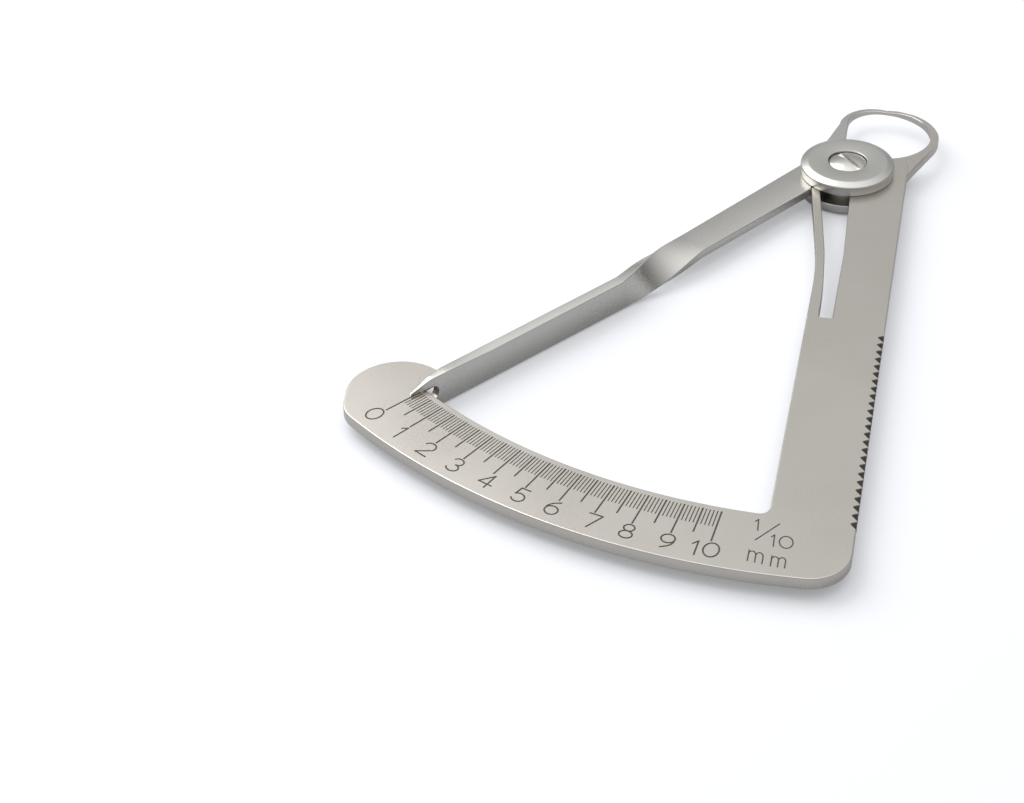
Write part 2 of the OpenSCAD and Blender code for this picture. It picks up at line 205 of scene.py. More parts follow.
def mesh_piece(name, points, faces, flat=(), inlaid_and_shaded=(), crease=CREASE):
    """One mesh object from points in millimetres; edges sharper than crease stay crisp.

    The faces in flat stay flat and the rest shade smoothly. The faces in the second list take the
    second material: the filling of the marks, and painted shade on the walls of the notches.
    """
    mesh = bpy.data.meshes.new(name)
    mesh.from_pydata((np.asarray(points) * MM).tolist(), [], faces)
    smooth = np.ones(len(mesh.polygons), bool)
    smooth[list(flat)] = False
    mesh.polygons.foreach_set("use_smooth", smooth)
    slots = np.zeros(len(mesh.polygons), np.int32)
    slots[list(inlaid_and_shaded)] = 1
    piece = new_object(name, mesh)
    if len(inlaid_and_shaded):
        mesh.materials.append(PLATE)
        mesh.materials.append(MARK_AND_NOTCH_SHADE)
    mesh.polygons.foreach_set("material_index", slots)
    return tidy(piece, crease=crease)


def tidy(piece, least=2e-6, crease=CREASE):
    """Merges points that are nearer than least metres, points the faces outwards, marks creases."""
    mesh = piece.data
    b = bmesh.new()
    b.from_mesh(mesh)
    bmesh.ops.remove_doubles(b, verts=b.verts, dist=least)
    bmesh.ops.recalc_face_normals(b, faces=b.faces)
    b.to_mesh(mesh)
    b.free()
    smooth = np.empty(len(mesh.polygons), bool)
    mesh.polygons.foreach_get("use_smooth", smooth)
    mesh.set_sharp_from_angle(angle=math.radians(crease))
    mesh.polygons.foreach_set("use_smooth", smooth)
    mesh.update()
    return piece


def grid_faces(rows, columns):
    """Quads of a grid of points that is stored row by row; each row closes on itself."""
    r, c = np.meshgrid(np.arange(rows - 1), np.arange(columns), indexing="ij")
    d = (c + 1) % columns
    low, high = r * columns, (r + 1) * columns
    return np.stack([low + c, low + d, high + d, high + c], -1).reshape(-1, 4).tolist()


def triangles(path, marks=()):
    """Delaunay triangles of the area inside a closed path, and which of them lie inside a mark."""
    shapes = [path, *marks]
    ends = np.cumsum([len(s) for s in shapes])
    loops = [list(range(end - len(s), end)) for s, end in zip(shapes, ends)]
    spots = [Vector(p) for p in np.concatenate(shapes).tolist()]
    spots, _, faces, _, _, owners = delaunay_2d_cdt(spots, [], loops, 1, 1e-6)
    marked = np.array([any(shape > 0 for shape in owner) for owner in owners])
    return np.array([s[:] for s in spots]), np.array(faces), marked


def lifted(spots, z):
    """The flat points at a height."""
    return np.concatenate([spots, np.full((len(spots), 1), z)], 1)


def slab(name, path, low, high, edge, square=None, marks=(), painted_shade=None):
    """A plate: a closed path carried up its edge profile and capped by two flat faces.

    Point (k, i) is path[i] moved inwards by inset[k], at height[k]; both follow a quarter circle at
    each edge. Where square is true the inset stays 0, so that two slabs can meet there with no
    groove. The marks are cut into the upper face: their triangles lie lower, with walls along their
    border. Each wall that starts at a point flagged in the last argument takes the second material,
    the marks' dark filling, as painted shade: this darkens the walls of the notches.
    """
    path = np.asarray(path, float)
    square = np.zeros(len(path), bool) if square is None else square
    painted_shade = np.zeros(len(path), bool) if painted_shade is None else painted_shade
    around = np.roll(path, -1, 0)
    if (path[:, 0] * around[:, 1] - around[:, 0] * path[:, 1]).sum() < 0:
        path, square, painted_shade = path[::-1], square[::-1], np.roll(painted_shade[::-1], -1)
    normal, _ = side_normals(path, True, MITRE)
    normal[square] = 0
    a = np.linspace(0, math.pi / 2, EDGE_STEPS) if edge else np.array([math.pi / 2])
    inset, drop = edge * (1 - np.cos(a)), edge * (1 - np.sin(a))
    insets = np.concatenate([inset[::-1], inset])
    heights = np.concatenate([low + drop[::-1], high - drop])
    rings = path + insets[:, None, None] * normal
    levels = np.broadcast_to(heights[:, None, None], (*rings.shape[:2], 1))
    walls = np.concatenate([rings, levels], -1).reshape(-1, 3)
    faces = grid_faces(len(heights), len(path))
    side_count = len(faces)
    under, under_faces, _ = triangles(rings[0])
    top, top_faces, marked = triangles(rings[-1], marks)
    bases = np.cumsum([len(walls), len(under), len(top)])
    faces += (under_faces[:, ::-1] + bases[0]).tolist()
    faces += (top_faces[~marked] + bases[1]).tolist()
    inlaid_from = len(faces)
    points = [walls, lifted(under, low), lifted(top, high)]
    if marked.any():
        sunk = top_faces[marked]
        edges = np.concatenate([sunk, np.roll(sunk, -1, 1)]).reshape(2, -1).T
        forward, back = edges @ (len(top), 1), edges @ (1, len(top))
        a, b = edges[~np.isin(forward, back)].T
        faces += (sunk + bases[2]).tolist()
        faces += np.stack([a + bases[1], b + bases[1], b + bases[2], a + bases[2]], -1).tolist()
        points.append(lifted(top, high - MARK_DEPTH))
    # the notches' walls: painted shade, in the marks' dark filling
    painted_shade_walls = np.flatnonzero(np.tile(painted_shade, len(heights) - 1)).tolist()
    return mesh_piece(name, np.concatenate(points), faces, flat=range(side_count, len(faces)),
                      inlaid_and_shaded=[*painted_shade_walls, *range(inlaid_from, len(faces))])


def turned(name, profile, count=128):
    """A surface of revolution: the profile's (radius, height) points carried round the pivot."""
    profile = np.asarray(profile, float)
    a = np.linspace(0, 2 * math.pi, count, endpoint=False)
    r, z = profile[:, 0][:, None], profile[:, 1][:, None]
    points = np.stack([r * np.cos(a), r * np.sin(a), z + 0 * a], -1).reshape(-1, 3)
    return mesh_piece(name, points, grid_faces(len(profile), count))


def lofted(name, grid, crease=CREASE):
    """A tube through closed cross-sections, one in each row of the grid, with flat ends."""
    n, m = grid.shape[:2]
    faces = grid_faces(n, m)
    ends = [len(faces), len(faces) + 1]
    faces += [list(range(m))[::-1], [(n - 1) * m + k for k in range(m)]]
    return mesh_piece(name, grid.reshape(-1, 3), faces, flat=ends, crease=crease)


def joined(name, pieces):
    """Several closed shells as one object; shells without materials take the first one's."""
    for p in bpy.data.objects:
        p.select_set(False)
    for p in pieces:
        p.select_set(True)
        if not p.data.materials:
            for material in pieces[0].data.materials:
                p.data.materials.append(material)
    bpy.context.view_layer.objects.active = pieces[0]
    bpy.ops.object.join()
    whole = bpy.context.view_layer.objects.active
    whole.name = name
    whole.data.name = name
    return whole


def cut(piece, cutter):
    """Takes the cutter's volume out of the piece."""
    step = piece.modifiers.new("cut", "BOOLEAN")
    step.operation = "DIFFERENCE"
    step.solver = "EXACT"
    step.object = cutter
    bpy.context.view_layer.update()
    graph = bpy.context.evaluated_depsgraph_get()
    result = bpy.data.meshes.new_from_object(piece.evaluated_get(graph))
    piece.modifiers.clear()
    piece.data = result
    bpy.data.objects.remove(cutter)
    return tidy(piece, 1e-7)


def colour(text):
    """Linear RGBA of an sRGB hex colour."""
    c = np.array([int(text[i:i + 2], 16) / 255 for i in (1, 3, 5)])
    c = np.where(c <= 0.04045, c / 12.92, ((c + 0.055) / 1.055) ** 2.4)
    return (*c.tolist(), 1.0)


def add(tree, kind, inputs=None, **settings):
    """Adds a node with its settings; each input is a value or the output that is linked to it."""
    node = tree.nodes.new(kind)
    for key, value in settings.items():
        setattr(node, key, value)
    for socket, value in (inputs or {}).items():
        if isinstance(value, bpy.types.NodeSocket):
            tree.links.new(value, node.inputs[socket])
        else:
            node.inputs[socket].default_value = value
    return node


def new_tree(name):
    """An empty material and its node tree."""
    m = bpy.data.materials.new(name)
    m.use_nodes = True
    m.node_tree.nodes.clear()
    return m, m.node_tree


def clouded(tree, place, scale, detail, dark, light):
    """Soft clouds between two tints: their level and their colour."""
    cloud = add(tree, "ShaderNodeTexNoise", {"Vector": place, "Scale": scale, "Detail": detail})
    level = cloud.outputs["Fac"]
    tint = add(tree, "ShaderNodeMixRGB",
               {"Fac": level, "Color1": colour(dark), "Color2": colour(light)})
    return level, tint.outputs["Color"]


def steel(name, dark, light, roughness, grain, spacing, stretch=None):
    """Ground stainless steel: fine grain in the roughness and bump, and soft clouds of tint.

    spacing is the distance from one scratch to the next in millimetres. stretch scales the grain on
    each axis, and below 1 it draws the grain out; without it the grain runs in rings about the
    pivot, as on turned work.
    """
    m, t = new_tree(name)
    place = add(t, "ShaderNodeTexCoord").outputs["Object"]
    noise = {"Scale": 1 / (spacing * MM), "Detail": 4.0}
    if stretch:
        along = add(t, "ShaderNodeMapping", {"Vector": place, "Scale": stretch})
        fine = add(t, "ShaderNodeTexNoise", {"Vector": along.outputs["Vector"], **noise})
    else:
        level = add(t, "ShaderNodeMapping", {"Vector": place, "Scale": (1, 1, 0)})
        radius = add(t, "ShaderNodeVectorMath", {0: level.outputs["Vector"]}, operation="LENGTH")
        fine = add(t, "ShaderNodeTexNoise", {"W": radius.outputs["Value"], **noise},
                   noise_dimensions="1D")
    cloud, tint = clouded(t, place, CLOUDS, 3.0, dark, light)
    rough = add(t, "ShaderNodeMapRange",
                {"Value": fine.outputs["Fac"], "From Min": 0.3, "From Max": 0.7,
                 "To Min": roughness - grain, "To Max": roughness + grain})
    worn = add(t, "ShaderNodeMath", {0: cloud, 1: WEAR, 2: rough.outputs[0]},
               operation="MULTIPLY_ADD")
    relief = add(t, "ShaderNodeBump",
                 {"Height": fine.outputs["Fac"], "Strength": BUMP, "Distance": BUMP_HEIGHT})
    shader = add(t, "ShaderNodeBsdfPrincipled",
                 {"Base Color": tint, "Roughness": worn.outputs[0],
                  "Normal": relief.outputs["Normal"], "Metallic": 1.0})
    add(t, "ShaderNodeOutputMaterial", {"Surface": shader.outputs[0]})
    return m


# Ground stainless sheet: satin and faintly warm, its grain drawn out along the leg
PLATE = steel("satin_stainless_plate", "#cfcac1", "#dad6cf", 0.25, 0.015, 0.11, (1.0, 0.04, 1.0))
# Rolled stainless strip of the lever: a little cooler than the sheet, its grain drawn out level
LEVER = steel("satin_stainless_strip", "#d1cec8", "#dad8d3", 0.24, 0.015, 0.11, (0.3, 0.3, 1.0))
# Turned stainless of the discs: fine rings about the pivot, with a soft sheen
DISC = steel("turned_stainless_disc", "#cbcac5", "#d3d2ce", 0.29, 0.03, 0.09)
# Screw head: turned and burnished, a little brighter than the discs
SCREW = steel("burnished_stainless_screw", "#d3d1cb", "#dddbd6", 0.18, 0.03, 0.09)


def filled_mark():
    """Grey-brown filling of the marks, also painted as shade on the notches' walls: matt, uneven.
    """
    m, t = new_tree("mark_filling_and_painted_notch_shade")
    place = add(t, "ShaderNodeTexCoord").outputs["Object"]
    _, tint = clouded(t, place, 2500.0, 2.0, "#48423b", "#6a6258")
    shader = add(t, "ShaderNodeBsdfPrincipled",
                 {"Base Color": tint, "Metallic": 0.2, "Roughness": 0.55})
    add(t, "ShaderNodeOutputMaterial", {"Surface": shader.outputs[0]})
    return m


MARK_AND_NOTCH_SHADE = filled_mark()


def dress(piece, body, slot, material, *nodes):
    """Gives a piece its material and its body, and hides the CAD nodes it stands for. The slot is
    not used.
    """
    if piece.data.materials:
        piece.data.materials[0] = material
    else:
        piece.data.materials.append(material)
    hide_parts(*nodes)
    if body:
        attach(piece, body)


def tooth_notch(s):
    """One notch of the toothed edge at a distance s from the pivot, with a small round apex."""
    x, y = LEG_OUT - NOTCH_DEEP, -(s + NOTCH_LEAN * NOTCH_W)
    return [(LEG_OUT, -s), (x + 0.10, y + 0.11), (x + 0.01, y + 0.05), (x, y - 0.04),
            (x + 0.08, y - 0.13), (LEG_OUT, -s - NOTCH_W)]


def frame_outline():
    """Outline of the plate outside its hub, its square points, and where painted shade starts on
    notch walls.
    """
    path, square, painted_shade = [], [], []

    def go(points, sharp=False, notch=False):
        """Carries the outline on through the points."""
        points = np.atleast_2d(np.array(points, float))
        path.extend(points.tolist())
        square.extend([sharp] * len(points))
        painted_shade.extend([notch] * len(points))

    hub = HUB_R - HUB_SEAM
    top = (math.sqrt(hub ** 2 - LEG_TOP ** 2), LEG_TOP)
    foot = (SLOT_HUB, -math.sqrt(hub ** 2 - SLOT_HUB ** 2))
    # shoulder at the top of the leg, then down the toothed edge
    go([top])
    go(arc((LEG_OUT - SHOULDER_R, LEG_TOP - SHOULDER_R), SHOULDER_R, 90, 0, 7))
    go(line((LEG_OUT, LEG_TOP - SHOULDER_R - 0.1), (LEG_OUT, -PLAIN_ABOVE), 12)[1:])
    for i in range(NOTCHES):
        notch = tooth_notch(NOTCH_FROM + NOTCH_PITCH * i)
        # the walls from these points carry painted shade, in the marks' dark filling
        go(notch[:-1], notch=True)
        go(notch[-1:])
    # corner, outer arc and round end
    corner_x = LEG_OUT - CORNER_R
    corner = np.array([corner_x, -math.sqrt((QUADRANT_R - CORNER_R) ** 2 - corner_x ** 2)])
    go(line((LEG_OUT, -PLAIN_BELOW), (LEG_OUT, corner[1]), 3)[:-1])
    go(arc(corner, CORNER_R, 0, bearing(corner), 16))
    lobe = turn(polar(LOBE_AT, LOBE_TURN), ZERO)
    blend = turn(polar(QUADRANT_R - LOBE_BLEND_R, LOBE_TURN), ZERO)
    along = bearing(blend - lobe)
    lean = math.degrees(math.acos((LOBE_R - LOBE_BLEND_R) / np.linalg.norm(blend - lobe)))
    go(arc((0, 0), QUADRANT_R, bearing(corner), ZERO + LOBE_TURN, 110)[1:-1])
    go(arc(blend, LOBE_BLEND_R, along, along - lean, 9))
    behind = UPRIGHT_Y - LEVER_T / 2 - LOBE_ROOM
    lobe_zero = polar(LOBE_AT, LOBE_TURN)
    reach = math.sqrt(LOBE_R ** 2 - (behind - lobe_zero[1]) ** 2)
    last = ZERO - 180 - math.degrees(math.asin((behind - lobe_zero[1]) / LOBE_R))
    go(arc(lobe, LOBE_R, along - lean, last, 40)[1:])
    # behind the pointer to the inner arc, then up the leg and the slot's far side
    edge = math.sqrt(QUADRANT_IN ** 2 - behind ** 2)
    go(turn(line((lobe_zero[0] - reach, behind), (edge, behind), 4), ZERO)[1:])
    fillet_x = LEG_IN - FILLET_R
    fillet = np.array([fillet_x, -math.sqrt((QUADRANT_IN - FILLET_R) ** 2 - fillet_x ** 2)])
    start = ZERO + bearing((edge, behind))
    go(arc((0, 0), QUADRANT_IN, start, bearing(fillet), 90)[1:])
    go(arc(fillet, FILLET_R, bearing(fillet), 0, 8)[1:])
    go(line((LEG_IN, fillet[1] + 0.2), (LEG_IN, -SLOT_END - 0.3), 10))
    go([(LEG_IN, -SLOT_END), (LEG_IN + LEAF_ROOT_W, -SLOT_END)], True)
    go([(SLOT_FAR - SLOT_CORNER, -SLOT_END), (SLOT_FAR, -SLOT_END + SLOT_CORNER)])
    go(line((SLOT_FAR, -SLOT_TAPER[0]), (SLOT_HUB, -SLOT_TAPER[1]), 6))
    go([foot])
    go(arc((0, 0), hub, bearing(foot), bearing(top), 18)[1:-1], True)
    return np.array(path), np.array(square), np.array(painted_shade)


def oval(x, y, rx, ry, a0, a1, n):
    """n points of an ellipse about (x, y)."""
    a = np.radians(np.linspace(a0, a1, n))
    return np.stack([x + rx * np.cos(a), y + ry * np.sin(a)], -1)


def ruled(*points):
    """Straight strokes from each point to the next, each a stroke of its own."""
    return [np.array([a, b], float) for a, b in zip(points, points[1:])]


# Each sign as centre lines in a box 1 high: x runs right from its middle, y runs up
SIGNS = {
    "0": [oval(0, 0.5, 0.38, 0.5, 90, 450, 41)],
    "1": ruled((-0.2, 0.76), (0.03, 1.0), (0.03, 0.0)),
    "2": [np.concatenate([oval(0, 0.71, 0.33, 0.29, 165, -35, 18), [(-0.35, 0.0)]]),
          *ruled((-0.35, 0.0), (0.36, 0.0))],
    "3": [oval(-0.02, 0.75, 0.29, 0.25, 160, -85, 16),
          oval(-0.02, 0.26, 0.34, 0.26, 85, -155, 18)],
    "4": ruled((0.14, 0.0), (0.14, 1.0), (-0.38, 0.28), (0.38, 0.28)),
    "5": [*ruled((0.29, 1.0), (-0.2, 1.0), (-0.27, 0.53)),
          oval(-0.01, 0.31, 0.34, 0.31, 138, -150, 20)],
    "6": [np.concatenate([[(0.2, 1.0)], oval(0.3, 0.34, 0.65, 0.62, 118, 168, 6)]),
          oval(0, 0.31, 0.34, 0.31, 90, 450, 30)],
    "7": ruled((-0.35, 1.0), (0.35, 1.0), (-0.1, 0.0)),
    "8": [oval(0, 0.76, 0.27, 0.24, 90, 450, 26), oval(0, 0.26, 0.33, 0.26, 90, 450, 28)],
    "9": [np.concatenate([[(-0.2, 0.0)], oval(-0.3, 0.66, 0.65, 0.62, -62, -12, 6)]),
          oval(0, 0.69, 0.34, 0.31, 90, 450, 30)],
    "m": [*ruled((-0.5, 0.0), (-0.5, 1.0)), *ruled((0.0, 0.0), (0.0, 0.62)),
          *ruled((0.5, 0.0), (0.5, 0.62)), oval(-0.25, 0.62, 0.25, 0.34, 180, 0, 12),
          oval(0.25, 0.62, 0.25, 0.34, 180, 0, 12)],
}


def placed(sign, foot, across, upward):
    """The sign's strokes with the middle of its foot at foot, and its box's axes as vectors."""
    return [np.array(foot) + s[:, :1] * across + s[:, 1:] * upward for s in SIGNS[sign]]


def scale_strokes():
    """Centre lines and widths of the marks: tenths, halves, wholes, numerals and the unit."""
    strokes = []
    for i in range(101):
        a = ZERO + reading_turn(i / 10)
        whole, half = i % 10 == 0, i % 5 == 0
        end = WHOLE_TO if whole else HALF_TO if half else TENTH_TO
        mark = line(polar(MARK_FROM, a), polar(end, a), 2)
        strokes.append((mark, WIDE_MARK if half else FINE_MARK))
    for k in range(11):
        a = ZERO + reading_turn(k)
        up, across = -polar(1, a) * NUMERAL_H, polar(1, a + 90) * NUMERAL_H
        middle = polar(NUMERAL_R, a + NUMERAL_TURN.get(k, 0))
        for sign, shift in TEN if k == 10 else [(str(k), (0, 0))]:
            foot = middle + shift - up / 2
            strokes += [(s, WIDE_MARK) for s in placed(sign, foot, across, up)]
    return strokes + unit_strokes()


def unit_strokes():
    """The plain unit of the scale beside the last mark: a tenth of a millimetre."""
    flat = np.array([1.0, -0.09])
    strokes = ruled((-3.05, -75.45), (-2.74, -75.06), (-2.61, -76.96))
    strokes += ruled((-0.32, -75.41), (-2.68, -78.61))
    strokes += ruled((-0.95, -77.75), (-0.65, -77.38), (-0.58, -79.34))
    strokes += placed("0", (0.76, -79.4), flat * 2.0, np.array([0, 2.0]))
    strokes += placed("m", (-2.29, -82.32), np.array([1.65, -0.26]), np.array([0, 1.8]))
    strokes += placed("m", (0.28, -82.65), np.array([1.58, -0.05]), np.array([0, 1.7]))
    return [(s, UNIT_MARK) for s in strokes]


def ribbon(points, width):
    """Quads along a centre line: their corners lie half the width off it, on its normals.

    The ends of an open line run on by a share of the width.
    """
    least, run_on = 0.5, 0.4
    closed = np.linalg.norm(points[0] - points[-1]) < 1e-6
    if closed:
        side, _ = side_normals(points[:-1], True, least)
        side = np.concatenate([side, side[:1]])
    else:
        side, ahead = side_normals(points, False, least)
        points = points.copy()
        points[0] -= ahead[0] * width * run_on
        points[-1] += ahead[-1] * width * run_on
    left, right = points + side * width / 2, points - side * width / 2
    return list(np.stack([right[:-1], right[1:], left[1:], left[:-1]], 1))


def jaw(name, inner, outer, low, high, slope):
    """A jaw: cross-sections between an inner and an outer curve, from root to tip.

    Section i has its corners on inner[i] and outer[i], its floor at low[i] and its top at high[i].
    slope[i] is the width of the slope that is ground on the outer top side; it falls by its own
    width, but by no more than JAW_FALL.
    """
    low, high, slope = (np.asarray(v, float)[:, None] for v in (low, high, slope))
    wide, tall = np.linalg.norm(outer - inner, axis=1)[:, None], high - low
    e, none, rim = JAW_EDGE + 0 * wide, 0 * wide, JAW_EDGE / 2
    fall = np.minimum(slope, JAW_FALL)
    across = [e, none, none, e, wide - slope, wide - 0.85 * slope, wide - rim, wide, wide, wide - e]
    up = [none, e, tall - e, tall, tall, tall - 0.1 * fall, tall - fall, tall - fall - rim, e, none]
    share = np.concatenate(across, 1) / wide
    flat = inner[:, None] + share[..., None] * (outer - inner)[:, None]
    height = (low + np.concatenate(up, 1))[..., None]
    return lofted(name, np.concatenate([flat, height], -1), JAW_CREASE)


TIP = polar(JAW_R, JAW_DIR)
TIP_END = polar(TIP_W, JAW_DIR)


def right_jaw():
    """The frame's jaw: a wedge off the leg's shoulder that bends round the ring to its tip."""
    in_shift, out_shift, crotch = (0.2, -6.5), (0.55, -6.6), np.array([5.35, 4.7])
    inner_c, inner_r = TIP + in_shift, math.hypot(*in_shift)
    outer_c, outer_r = TIP + out_shift, math.hypot(*out_shift) + TIP_W
    inner_end, outer_end = TIP + (TIP_SEAM_IN, 0), TIP + TIP_END + (TIP_SEAM_OUT, 0)
    a_in = np.linspace(bearing(crotch - inner_c), bearing(inner_end - inner_c), 48)
    inner = inner_c + polar(inner_r, a_in)
    # the wedge's outer side meets the ring as a tangent
    root = np.array([LEG_OUT, 0.4])
    d = np.linalg.norm(outer_c - root)
    a = math.radians(bearing(outer_c - root)) - math.asin(outer_r / d)
    meet = root + math.sqrt(d * d - outer_r ** 2) * np.array([math.cos(a), math.sin(a)])
    a_out = np.linspace(bearing(meet - outer_c), bearing(outer_end - outer_c), 39)
    outer = np.concatenate([line(root, meet, 10)[:-1], outer_c + polar(outer_r, a_out)])
    t = np.linspace(0, 1, 48)
    high = PLATE_MID + np.interp(t, [0, 0.25, 0.8, 1], [0.77, 0.74, 0.62, 0.36])
    low = PLATE_MID - np.interp(t, [0, 0.25, 0.8, 1], [0.5, 0.45, 0.34, 0.14])
    slope = np.interp(t, [0, 0.45, 0.6, 0.78, 0.92, 1], [0.12, 0.14, 0.66, 0.62, 0.16, 0.12])
    return jaw("right_jaw", inner, outer, low, high, slope)


def left_jaw():
    """The lever's jaw: straight up from the hub, then round to the tip."""
    in_shift, out_shift = (-0.95, -4.0), (-1.1, -4.35)
    inner_c, inner_r = TIP + in_shift, math.hypot(*in_shift)
    outer_c, outer_r = TIP + out_shift, math.hypot(*out_shift) + TIP_W
    inner_end, outer_end = TIP - (TIP_SEAM_IN, 0), TIP + TIP_END - (TIP_SEAM_OUT, 0)
    inner = np.concatenate([line((-0.95, 4.4), (inner_c[0] - inner_r, inner_c[1] - 0.6), 12),
                            arc(inner_c, inner_r, 180, bearing(inner_end - inner_c), 34)])
    outer = np.concatenate([line((-4.5, 4.1), (outer_c[0] - outer_r, outer_c[1]), 12),
                            arc(outer_c, outer_r, 180, bearing(outer_end - outer_c), 35)[1:]])
    t = np.linspace(0, 1, len(inner))
    high = PLATE_MID + np.interp(t, [0, 0.25, 0.5, 1], [0.79, 0.68, 0.58, 0.36])
    low = PLATE_MID - np.interp(t, [0, 0.25, 0.5, 1], [0.5, 0.45, 0.34, 0.14])
    slope = np.interp(t, [0, 0.5, 1], [0.12, 0.2, 0.14])
    return jaw("left_jaw", inner, outer, low, high, slope)


def lap(name, low, high):
    """Half of the lap joint under the discs: a round plate with the bore for the screw."""
    ease = 0.05
    profile = [(BORE_R, low + ease), (BORE_R + ease, low), (HUB_R - ease, low),
               (HUB_R, low + ease), (HUB_R, high - ease), (HUB_R - ease, high),
               (BORE_R + ease, high), (BORE_R, high - ease), (BORE_R, low + ease)]
    return turned(name, profile, 96)


def frame_pocket():
    """Space in the frame's half of the lap that the leaf's tip sweeps through."""
    start = ZERO - 10
    end = bearing((SLOT_HUB, -math.sqrt(POCKET_R ** 2 - SLOT_HUB ** 2)))
    path = np.concatenate([arc((0, 0), POCKET_R, start, end, 16), [(SLOT_HUB, -8.0)],
                           [polar(CLEAR_R, start)]])
    return slab("leaf_room", path, 0, CLEAR_Z, 0)


def lever_pocket():
    """Space in the lever's hub for the leaf's tip, inside the corner that it bears on."""
    corner = np.array([POCKET_CORNER, strip_edge(POCKET_CORNER)])
    inner = corner - polar(1.3, 46.3)
    start, end = math.degrees(math.asin(inner[1] / POCKET_R)), 52
    path = np.concatenate([[corner, (8.6, 2.0), polar(CLEAR_R, end)],
                           arc((0, 0), POCKET_R, end, start, 16), [inner]])
    return slab("leaf_room", turn(path, ZERO), 0, CLEAR_Z, 0)


def hub_room(low, high):
    """Round space about the pivot that one half of the lap leaves for the other."""
    return turned("hub_room", [(0, low), (HUB_ROOM, low), (HUB_ROOM, high), (0, high)], 96)


def frame_plate():
    """Leg, quadrant, lap and right jaw, with the scale cut in."""
    path, square, painted_shade = frame_outline()
    marks = [quad for points, width in scale_strokes() for quad in ribbon(points, width)]
    sheet = slab("sheet", path, PLATE_Z, PLATE_TOP, EDGE, square, marks, painted_shade)
    cut(sheet, hub_room(PLATE_MID, CLEAR_Z))
    half = cut(lap("frame_lap", PLATE_Z, PLATE_MID), frame_pocket())
    whole = joined("frame_plate_ground", [sheet, half, right_jaw()])
    dress(whole, "frame", "plate_steel", PLATE, "frame_plate")


def leaf_edge(s):
    """x of the leaf's left edge at a distance s below the pivot: straight, curved, straight."""
    r, lean = LEAF_BEND_R, math.radians(LEAF_LEAN)
    end = LEAF_BEND_AT - r * math.sin(lean)
    below = np.clip(LEAF_BEND_AT - s, 0, r)
    curve = LEG_IN - r + np.sqrt(np.maximum(r * r - below ** 2, 0))
    last = LEG_IN - r + r * math.cos(lean)
    bent = np.where(s > end, curve, last - math.tan(lean) * (end - s))
    return np.where(s > LEAF_BEND_AT, LEG_IN, bent)


def leaf_spring():
    """The leaf as its outline carried up a rounded edge; its root stays square at the plate."""
    s = np.concatenate([[SLOT_END], np.linspace(33.5, LEAF_TIP, 50)])
    left = np.stack([leaf_edge(s), -s], -1)
    wide = LEAF_W + (LEAF_ROOT_W - LEAF_W) * np.clip((s - 24) / 7, 0, 1)
    right = left + np.stack([wide, 0 * s], -1)
    middle = (left[-1] + right[-1]) / 2
    path = np.concatenate([left, arc(middle, LEAF_W / 2, 170, 10, 9), right[::-1]])
    square = np.abs(path[:, 1] + SLOT_END) < 1e-6
    piece = slab("leaf_spring_tongue", path, PLATE_Z, PLATE_TOP, EDGE, square)
    dress(piece, None, "plate_steel", PLATE, "leaf_spring")
    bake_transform(piece)


def strip_edge(x):
    """Leg-side edge of the flat strip at a distance x from the pivot, in the lever's own axes."""
    return TWIST_EDGE - STRIP_SLOPE * (TWIST_AT - x)


def lever_section(x):
    """Sections of the strip at distances x from the pivot, in the lever's own axes.

    upper and lower are their reach on both sides of their centre (y, z) across the strip's width,
    half is half their thickness, and phi is how far they are turned. upper lies away from the leg
    on the flat strip and on top of the upright one.
    """
    mix = np.clip((x - TWIST_AT) / TWIST_LEN, 0, 1)
    phi = 90 * (0.5 * mix + 0.5 * mix * mix * (3 - 2 * mix))
    flat = x < TWIST_AT
    wide = np.interp(x, [3.4, TWIST_AT], [LEVER_HUB_W, LEVER_W])
    flat_end, flat_z = TWIST_EDGE - LEVER_W / 2, PLATE_TOP - LEVER_T / 2
    y = np.where(flat, strip_edge(x) - wide / 2, flat_end + mix * (UPRIGHT_Y - flat_end))
    z = flat_z + mix * (PLATE_MID - flat_z)

    def tapered(back, values):
        """The values at distances back from the pointer's end, and straight lines in between."""
        return np.interp(x, [POINTER_R - b for b in back], values)

    waist = 1 - TWIST_WAIST * np.sin(math.pi * mix)
    upper = tapered((TAPER, 3, 0), [LEVER_W / 2, 2.15, 1.3])
    lower = tapered((1.6, NIB, 0), [LEVER_W / 2, 1.85, -1.1])
    half = tapered((5, 2.4, 0), [LEVER_T / 2, 0.34, 0.1])
    y = y + tapered((5, 0), [0, -UPRIGHT_Y])
    upper, lower = (np.where(flat, wide / 2, reach * waist) for reach in (upper, lower))
    return upper, lower, half, y, z, phi


